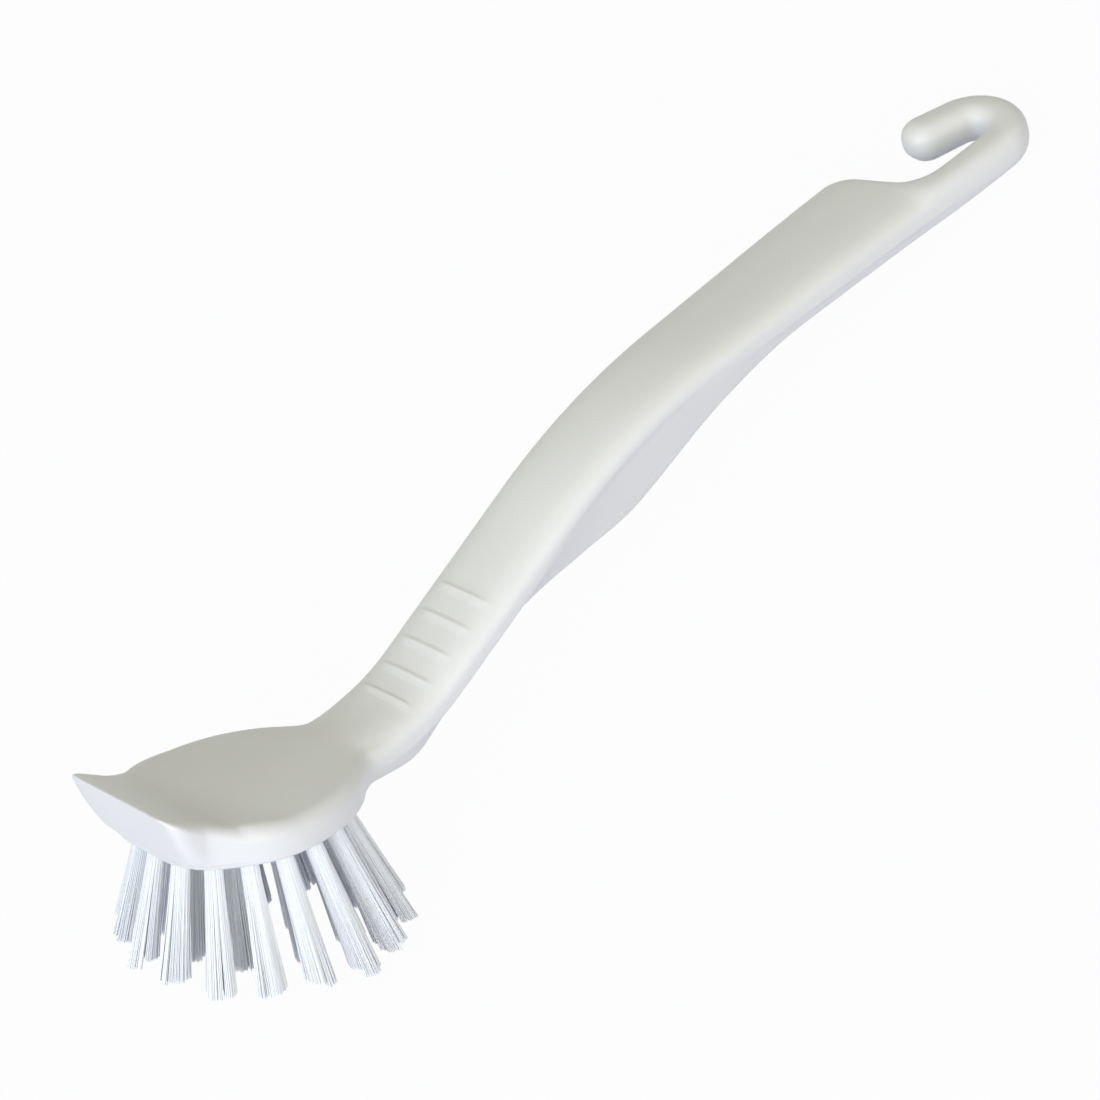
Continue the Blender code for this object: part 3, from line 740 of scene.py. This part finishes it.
def socket_of(sockets, name):
    """The enabled socket that has a name, or a place in the list."""
    enabled = [socket for socket in sockets if socket.enabled]
    return enabled[name] if isinstance(name, int) else [s for s in enabled if s.name == name][0]


class Tree:
    """A node tree, shader or geometry, that is written as expressions."""

    def __init__(self, tree):
        self.tree = tree

    def add(self, kind, settings=None, sockets=None, output=0):
        node = self.tree.nodes.new(kind)
        for name, value in (settings or {}).items():
            setattr(node, name, value)
        for name, value in (sockets or {}).items():
            self.set(node, name, value)
        return Wire(self, socket_of(node.outputs, output))

    def maths(self, operation, *values, vector=False, output=0):
        kind = "ShaderNodeVectorMath" if vector else "ShaderNodeMath"
        return self.add(kind, {"operation": operation}, dict(enumerate(values)), output)

    def set(self, node, name, value):
        socket = socket_of(node.inputs, name)
        if isinstance(value, Wire):
            self.tree.links.new(value.socket, socket)
        else:
            socket.default_value = value

    def end(self, kind, name, wire):
        """Leads a wire to the tree's last node, which is made where there is none yet."""
        found = [node for node in self.tree.nodes if node.bl_idname == kind]
        self.set(found[0] if found else self.tree.nodes.new(kind), name, wire)

    def vector(self, value):
        """A fixed vector, as a wire that sums can use."""
        return self.maths("ADD", value, (0, 0, 0), vector=True)

    def other(self, wire, name):
        """Another output of the node that a wire comes from."""
        return Wire(self, socket_of(wire.socket.node.outputs, name))


print("node helpers ready")

# %% [markdown]
# ## Filaments
#
# A tuft is a pinch of nylon folded over its anchor. Geometry Nodes suit it well: the tree starts from one
# vertex for each tuft, spreads filament roots over the hole as a sunflower spreads its seeds, and bends
# each filament out a little. Neighbouring filaments cling together, so each tuft splits into a few locks,
# and the ends are trimmed nearly level. The outer ring and the inner rings are two pieces, so that
# neither gets too heavy.

# %% Meshes with one vertex for each tuft
OUTER_COUNT = RINGS[0][0]
LAID_DOWN = REST.to_3x3()


def tuft_roots(name, first, end):
    """The roots of a run of tufts. Each vertex carries its tuft's number and direction."""
    roots = bpy.data.meshes.new(name)
    roots.from_pydata([REST @ mouth for mouth, _ in tufts[first:end]], [], [])
    numbers = roots.attributes.new("tuft", "INT", "POINT")
    along = roots.attributes.new("along", "FLOAT_VECTOR", "POINT")
    for index, (_, direction) in enumerate(tufts[first:end]):
        numbers.data[index].value = first + index
        along.data[index].vector = LAID_DOWN @ direction
    return shown(name, roots)


outer_bristles = tuft_roots("outer_bristles", 0, OUTER_COUNT)
inner_bristles = tuft_roots("inner_bristles", OUTER_COUNT, len(tufts))
for piece in (outer_bristles, inner_bristles):
    print(piece.name, "grows from", len(piece.data.vertices), "roots")

# %% [markdown]
# The tree's inputs are its sizes. The filament curve is drawn once, copied to every root and bent where
# it stands, which is quick, because the bending happens to all points at once.


# %% The tree's named inputs
def geometry_tree(name, inputs):
    group = bpy.data.node_groups.new(name, "GeometryNodeTree")
    group.interface.new_socket("Geometry", in_out="INPUT", socket_type="NodeSocketGeometry")
    group.interface.new_socket("Geometry", in_out="OUTPUT", socket_type="NodeSocketGeometry")
    for label, (kind, value) in inputs.items():
        socket = group.interface.new_socket(label, in_out="INPUT", socket_type=kind)
        socket.default_value = value
    return group


FLOAT, INTEGER, VECTOR = "NodeSocketFloat", "NodeSocketInt", "NodeSocketVector"
TUFT_SIZES = {
    "Filaments": (INTEGER, 320),
    "Tuft radius": (FLOAT, 0.00183),
    "Filament radius": (FLOAT, 0.00013),
    "Length": (FLOAT, 0.0293),
    "Trim": (FLOAT, 0.0030),
    "Spread": (FLOAT, 0.52),
    "Lock": (FLOAT, 0.0006),
    "Stray": (FLOAT, 0.0003),
    "Sunk": (FLOAT, 0.0030),
    "Down": (VECTOR, tuple(LAID_DOWN @ Vector((0, 0, -1)))),
    "Floor": (FLOAT, 0.00014),
    "Seed": (INTEGER, 11),
}
group = geometry_tree("filaments", TUFT_SIZES)
print("inputs:", [item.name for item in group.interface.items_tree if item.in_out == "INPUT"])

# %% Roots spread over each hole
GOLDEN_ANGLE = 2.39996
TUFT_KEY = 1000
TUFT_TURN = 1.7
tree = Tree(group)
given = tree.add("NodeGroupInput", output="Geometry")


def size(name):
    return tree.other(given, name)


def read(name, kind="FLOAT"):
    return tree.add("GeometryNodeInputNamedAttribute", {"data_type": kind}, {"Name": name})


def random(low, high, key, seed):
    sockets = {"Min": low, "Max": high, "ID": key, "Seed": seed}
    return tree.add("FunctionNodeRandomValue", {"data_type": "FLOAT"}, sockets)


def keep(geometry, name, value, kind="FLOAT"):
    return tree.add(
        "GeometryNodeStoreNamedAttribute",
        {"data_type": kind, "domain": "POINT"},
        {"Geometry": geometry, "Name": name, "Value": value},
    )


copies = tree.add(
    "GeometryNodeDuplicateElements", {"domain": "POINT"}, {"Geometry": given, "Amount": size("Filaments")}
)
number = tree.other(copies, "Duplicate Index")
tuft = read("tuft", "INT")
key = number + tuft * TUFT_KEY
angle = number * GOLDEN_ANGLE + tuft * TUFT_TURN
reach = ((number + 0.5) / size("Filaments")) ** 0.5
print("filament roots follow a sunflower's spiral")

# %% Directions across the tuft, and its locks
def cross(a, b):
    return tree.maths("CROSS_PRODUCT", a, b, vector=True)


tangent = tree.maths("NORMALIZE", cross(read("along", "FLOAT_VECTOR"), (0, 1, 0)), vector=True)
square = cross(read("along", "FLOAT_VECTOR"), tangent)


def round_the_tuft(angle):
    return tangent * tree.maths("COSINE", angle) + square * tree.maths("SINE", angle)


TURN = 2 * math.pi
LOCKS = 4
LOCK_TURN = 0.9
LOCK_KEY = 17
LEAST_PULL = 0.1
whole = tree.maths("FLOOR", (angle + tuft * LOCK_TURN) / (TURN / LOCKS))
lock = tree.maths("FLOORED_MODULO", whole, LOCKS)
lock_key = lock + tuft * LOCK_KEY
lock_angle = (lock + 0.5) * (TURN / LOCKS) - tuft * LOCK_TURN
offset = round_the_tuft(angle) * (reach * size("Tuft radius"))
stray_angle = random(0, TURN, key, size("Seed"))
stray = round_the_tuft(stray_angle) * (random(0, 1, key, size("Seed") + 1) * size("Stray"))
pull = round_the_tuft(lock_angle) * (random(LEAST_PULL, 1, lock_key, size("Seed") + 2) * size("Lock"))
print("locks in each tuft:", LOCKS)


# %% Lengths, trimmed nearly level and never below the table
OWN_TRIM = 0.2
LOCK_TRIM = 0.8


def dot(a, b):
    return tree.maths("DOT_PRODUCT", a, b, vector=True, output="Value")


def component_z(vector):
    return tree.add("ShaderNodeSeparateXYZ", {}, {0: vector}, output="Z")


forward = read("along", "FLOAT_VECTOR")
splayed = offset * (size("Spread") + 1) + stray + pull
trim = random(0, OWN_TRIM, key, size("Seed") + 3) + random(0, LOCK_TRIM, lock_key, size("Seed") + 4)
level = size("Length") - trim * size("Trim")
trimmed = (level - dot(splayed, size("Down"))) / dot(forward, size("Down"))
above = component_z(tree.add("GeometryNodeInputPosition")) + component_z(splayed) - size("Floor")
standing = above / (component_z(forward) * -1)
length = tree.maths("MINIMUM", trimmed, standing)
for name, value, kind in (
    ("root", tree.add("GeometryNodeInputPosition"), "FLOAT_VECTOR"),
    ("offset", offset, "FLOAT_VECTOR"),
    ("splay", splayed - offset, "FLOAT_VECTOR"),
    ("length", length, "FLOAT"),
    ("shade", random(0, 1, key, size("Seed") + 5), "FLOAT"),
):
    copies = keep(copies, name, value, kind)
print("each filament carries its own root, splay, length and shade")

# %% Copy one curve to every root and bend it there
FILAMENT_POINTS = 5
FILAMENT_SIDES = 4
BEND_POWER = 1.35
LINE_LENGTH = 0.01
line = tree.add("GeometryNodeCurvePrimitiveLine", {"mode": "POINTS"}, {"End": (0, 0, LINE_LENGTH)})
line = tree.add("GeometryNodeResampleCurve", {}, {"Curve": line, "Count": FILAMENT_POINTS})
placed_lines = tree.add("GeometryNodeInstanceOnPoints", {}, {"Points": copies, "Instance": line})
lines = tree.add("GeometryNodeRealizeInstances", {}, {"Geometry": placed_lines})
share = tree.add("GeometryNodeSplineParameter", output="Factor")
travelled = share * (read("length") + size("Sunk")) - size("Sunk")
out = tree.maths("MAXIMUM", travelled / read("length"), 0.0)
where = (
    read("root", "FLOAT_VECTOR")
    + read("offset", "FLOAT_VECTOR")
    + read("along", "FLOAT_VECTOR") * travelled
    + read("splay", "FLOAT_VECTOR") * (out ** BEND_POWER)
)
bent = tree.add("GeometryNodeSetPosition", {}, {"Geometry": lines, "Position": where})
bent = keep(bent, "tip", out)
circle = tree.add(
    "GeometryNodeCurvePrimitiveCircle",
    {"mode": "RADIUS"},
    {"Resolution": FILAMENT_SIDES, "Radius": size("Filament radius")},
)
strands = tree.add("GeometryNodeCurveToMesh", {}, {"Curve": bent, "Profile Curve": circle, "Fill Caps": True})
print("a filament has", FILAMENT_POINTS, "points along it and", FILAMENT_SIDES, "sides")

# %% [markdown]
# ## Finishes
#
# Nothing on the brush is painted. The moulding is white polypropylene, which is slightly see-through, so
# light softens in it. Its skin is satin with a faint unevenness from the mould. The nylon is whiter and a
# touch blue, and the filaments differ a little from each other.


# %% The moulded plastic
PLASTIC_TONES = (0.80, 0.80, 0.765, 1), (0.85, 0.85, 0.82, 1)
CLOUD_SCALE = 45.0
GRAIN_SCALE = 1400.0
GRAIN_DEPTH = 0.00004


def new_material(name):
    material = bpy.data.materials.new(name)
    material.use_nodes = True
    nodes = Tree(material.node_tree)
    return material, nodes, material.node_tree.nodes["Principled BSDF"]


def blended(nodes, factor, first, second):
    return nodes.add("ShaderNodeMix", {"data_type": "RGBA"}, {"Factor": factor, "A": first, "B": second})


def noise(nodes, scale, detail):
    place = nodes.add("ShaderNodeTexCoord", output="Object")
    return nodes.add("ShaderNodeTexNoise", {}, {"Vector": place, "Scale": scale, "Detail": detail})


def moulded_plastic():
    material, nodes, shader = new_material("white_polypropylene")
    cloud = noise(nodes, CLOUD_SCALE, 3.0)
    grain = noise(nodes, GRAIN_SCALE, 2.0)
    nodes.set(shader, "Base Color", blended(nodes, cloud, *PLASTIC_TONES))
    nodes.set(shader, "Roughness", 0.30 + cloud * 0.10 + grain * 0.06)
    height = grain + cloud * 1.5
    bump = nodes.add("ShaderNodeBump", {}, {"Strength": 0.25, "Distance": GRAIN_DEPTH, "Height": height})
    nodes.set(shader, "Normal", bump)
    for name, value in (("Subsurface Weight", 0.25), ("Subsurface Scale", 0.004), ("IOR", 1.49)):
        nodes.set(shader, name, value)
    nodes.set(shader, "Subsurface Radius", (1.0, 0.95, 0.8))
    return material


# %% Nylon filament and anchor steel
NYLON_TONES = (0.90, 0.93, 0.94, 1), (0.96, 0.975, 0.985, 1)
STEEL_TONES = (0.50, 0.50, 0.48, 1), (0.66, 0.66, 0.64, 1)
STREAK_SCALE = 900.0


def nylon():
    material, nodes, shader = new_material("nylon_bristle")
    tone = nodes.add("ShaderNodeAttribute", {"attribute_name": "shade"}, output="Fac")
    nodes.set(shader, "Base Color", blended(nodes, tone, *NYLON_TONES))
    nodes.set(shader, "Roughness", 0.32 + tone * 0.16)
    nodes.set(shader, "IOR", 1.58)
    return material


def drawn_steel():
    material, nodes, shader = new_material("anchor_steel")
    streaks = noise(nodes, STREAK_SCALE, 2.0)
    nodes.set(shader, "Base Color", blended(nodes, streaks, *STEEL_TONES))
    nodes.set(shader, "Roughness", 0.30 + streaks * 0.15)
    nodes.set(shader, "Metallic", 1.0)
    return material


plastic, filament, steel = moulded_plastic(), nylon(), drawn_steel()
moulding.data.materials.clear()
moulding.data.materials.append(plastic)
print("finishes:", plastic.name, filament.name, steel.name)

# %% Grow the filaments
real = tree.add("GeometryNodeRealizeInstances", {}, {"Geometry": strands})
dressed = tree.add("GeometryNodeSetMaterial", {}, {"Geometry": real, "Material": filament})
tree.end("NodeGroupOutput", "Geometry", dressed)


def grow(made):
    """Runs the tree on the roots with its sizes set, and keeps the filaments as a plain mesh."""
    modifier = made.modifiers.new("filaments", "NODES")
    modifier.node_group = group
    for item in group.interface.items_tree:
        if item.in_out == "INPUT" and item.name in TUFT_SIZES:
            modifier[item.identifier] = TUFT_SIZES[item.name][1]
    bake_modifiers(made)
    made.data.shade_smooth()


for piece in (outer_bristles, inner_bristles):
    grow(piece)
    triangles = sum(len(face.vertices) - 2 for face in piece.data.polygons)
    print(piece.name, triangles, "triangles")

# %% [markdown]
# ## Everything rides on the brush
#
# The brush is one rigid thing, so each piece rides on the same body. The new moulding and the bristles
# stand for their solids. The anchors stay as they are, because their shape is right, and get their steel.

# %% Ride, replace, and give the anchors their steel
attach(moulding, "root")
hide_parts("brush_body")
tuft_names = sorted(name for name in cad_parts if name.startswith("tuft_"))
for piece, names in ((outer_bristles, tuft_names[:OUTER_COUNT]), (inner_bristles, tuft_names[OUTER_COUNT:])):
    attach(piece, "root")
    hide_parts(*names)
anchors = [node for name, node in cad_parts.items() if name.startswith("anchor_")]
for node in anchors:
    node.material_slots[0].material = steel
print("anchors in steel:", len(anchors))

# %% [markdown]
# ## Camera
#
# The camera stands where the photographer stood: in front and to the left, well above the brush, with a
# long lens. Its place was worked out in the level drawing, so the same matrix carries it over.

# %% Set up the camera
CAMERA_PLACE = Vector((-0.57609, -0.75316, 0.51966))
CAMERA_RIGHT = Vector((0.72711, -0.68625, -0.01938))
CAMERA_DOWN = Vector((-0.30827, -0.30115, -0.90237))
CAMERA_LENS = 172.42
SENSOR_WIDTH = 36.0
camera = shown("camera", bpy.data.cameras.new("camera"))
camera.data.lens, camera.data.sensor_width = CAMERA_LENS, SENSOR_WIDTH
axes = Matrix((CAMERA_RIGHT, -CAMERA_DOWN, CAMERA_DOWN.cross(CAMERA_RIGHT))).transposed()
camera.matrix_world = REST @ Matrix.Translation(CAMERA_PLACE) @ axes.to_4x4()
camera.data.clip_start, camera.data.clip_end = 0.05, 10.0
bpy.context.scene.camera = camera
print("camera at", [round(v, 3) for v in camera.matrix_world.translation])

# %% [markdown]
# ## Light and floor
#
# The photograph is lit softly from the near side, and its ground is pure white. A white floor lit that
# brightly would wash out a white brush. So the floor and the world show white to the camera and to
# reflections, while the light on the brush stays at a plain level. The sky's light is a sum: one colour
# at the horizon, some of another overhead, and less from the right and from beyond than from the left and
# the near side. Two wide, soft lamps stand on those two sides.


# %% White that only the camera and reflections see
WHITE = (1.0, 1.0, 1.0, 1)


def seen_directly(nodes):
    """1 for rays from the camera, a reflection or a clear body, and 0 for the light on the brush."""
    path = nodes.add("ShaderNodeLightPath", output="Is Camera Ray")
    seen = path + nodes.other(path, "Is Glossy Ray") + nodes.other(path, "Is Transmission Ray")
    return nodes.maths("MINIMUM", seen, 1.0)


world = bpy.data.worlds.new("studio")
world.use_nodes = True
bpy.context.scene.world = world
nodes = Tree(world.node_tree)
shader = world.node_tree.nodes["Background"]
SKY = (0.45, 0.48, 0.345)
SKY_ABOVE = (0.154, 0.105, 0.208)
SKY_LEFT = 0.26
SKY_NEAR = 0.22
toward = nodes.add("ShaderNodeTexCoord", output="Generated")
right = nodes.add("ShaderNodeSeparateXYZ", {}, {0: toward}, output="X")
beyond, above = nodes.other(right, "Y"), nodes.other(right, "Z")
lost = right * SKY_LEFT + beyond * SKY_NEAR
sky = nodes.vector(SKY) + nodes.vector(SKY_ABOVE) * above - nodes.vector(WHITE[:3]) * lost
nodes.set(shader, "Color", blended(nodes, seen_directly(nodes), sky, WHITE))
print("sky:", SKY, "at the horizon and", SKY_ABOVE, "more overhead")


# %% A floor that keeps a faint shadow
FLOOR_HALF = 3.0
FLOOR_WHITE = 0.97
FLOOR_TONE = (0.45, 0.475, 0.65, 1)


def floor_material():
    material, nodes, shader = new_material("studio_floor")
    nodes.set(shader, "Base Color", FLOOR_TONE)
    nodes.set(shader, "Roughness", 0.9)
    white = nodes.add("ShaderNodeEmission", {}, {"Color": WHITE, "Strength": 1.0})
    lit = Wire(nodes, shader.outputs[0])
    mixed = nodes.add("ShaderNodeMixShader", {}, {0: seen_directly(nodes) * FLOOR_WHITE, 1: lit, 2: white})
    nodes.end("ShaderNodeOutputMaterial", "Surface", mixed)
    return material


floor_mesh = bpy.data.meshes.new("floor")
corners = [(x * FLOOR_HALF, y * FLOOR_HALF, 0) for x, y in ((-1, -1), (1, -1), (1, 1), (-1, 1))]
floor_mesh.from_pydata(corners, [], [(0, 1, 2, 3)])
floor_mesh.materials.append(floor_material())
floor = shown("floor", floor_mesh)
print("floor", 2 * FLOOR_HALF, "metres wide")


# %% Soft lamps
LAMP_AIM = Vector((0, 0, 0.04))
LAMP_WIDTH = 0.8
LAMPS = (
    ("near_lamp", (-0.35, -1.33, 0.32), 5.4, (1.0, 0.95, 1.0)),
    ("left_lamp", (-1.05, -0.42, 0.84), 8.6, (0.72, 0.79, 1.0)),
)


def soft_lamp(name, place, power, colour):
    data = bpy.data.lights.new(name, "AREA")
    data.shape, data.size, data.energy, data.color = "DISK", LAMP_WIDTH, power, colour
    lamp = shown(name, data)
    lamp.location = place
    lamp.rotation_euler = (LAMP_AIM - Vector(place)).to_track_quat("-Z", "Y").to_euler()


for lamp in LAMPS:
    soft_lamp(*lamp)
bpy.context.scene.view_settings.view_transform = "Standard"
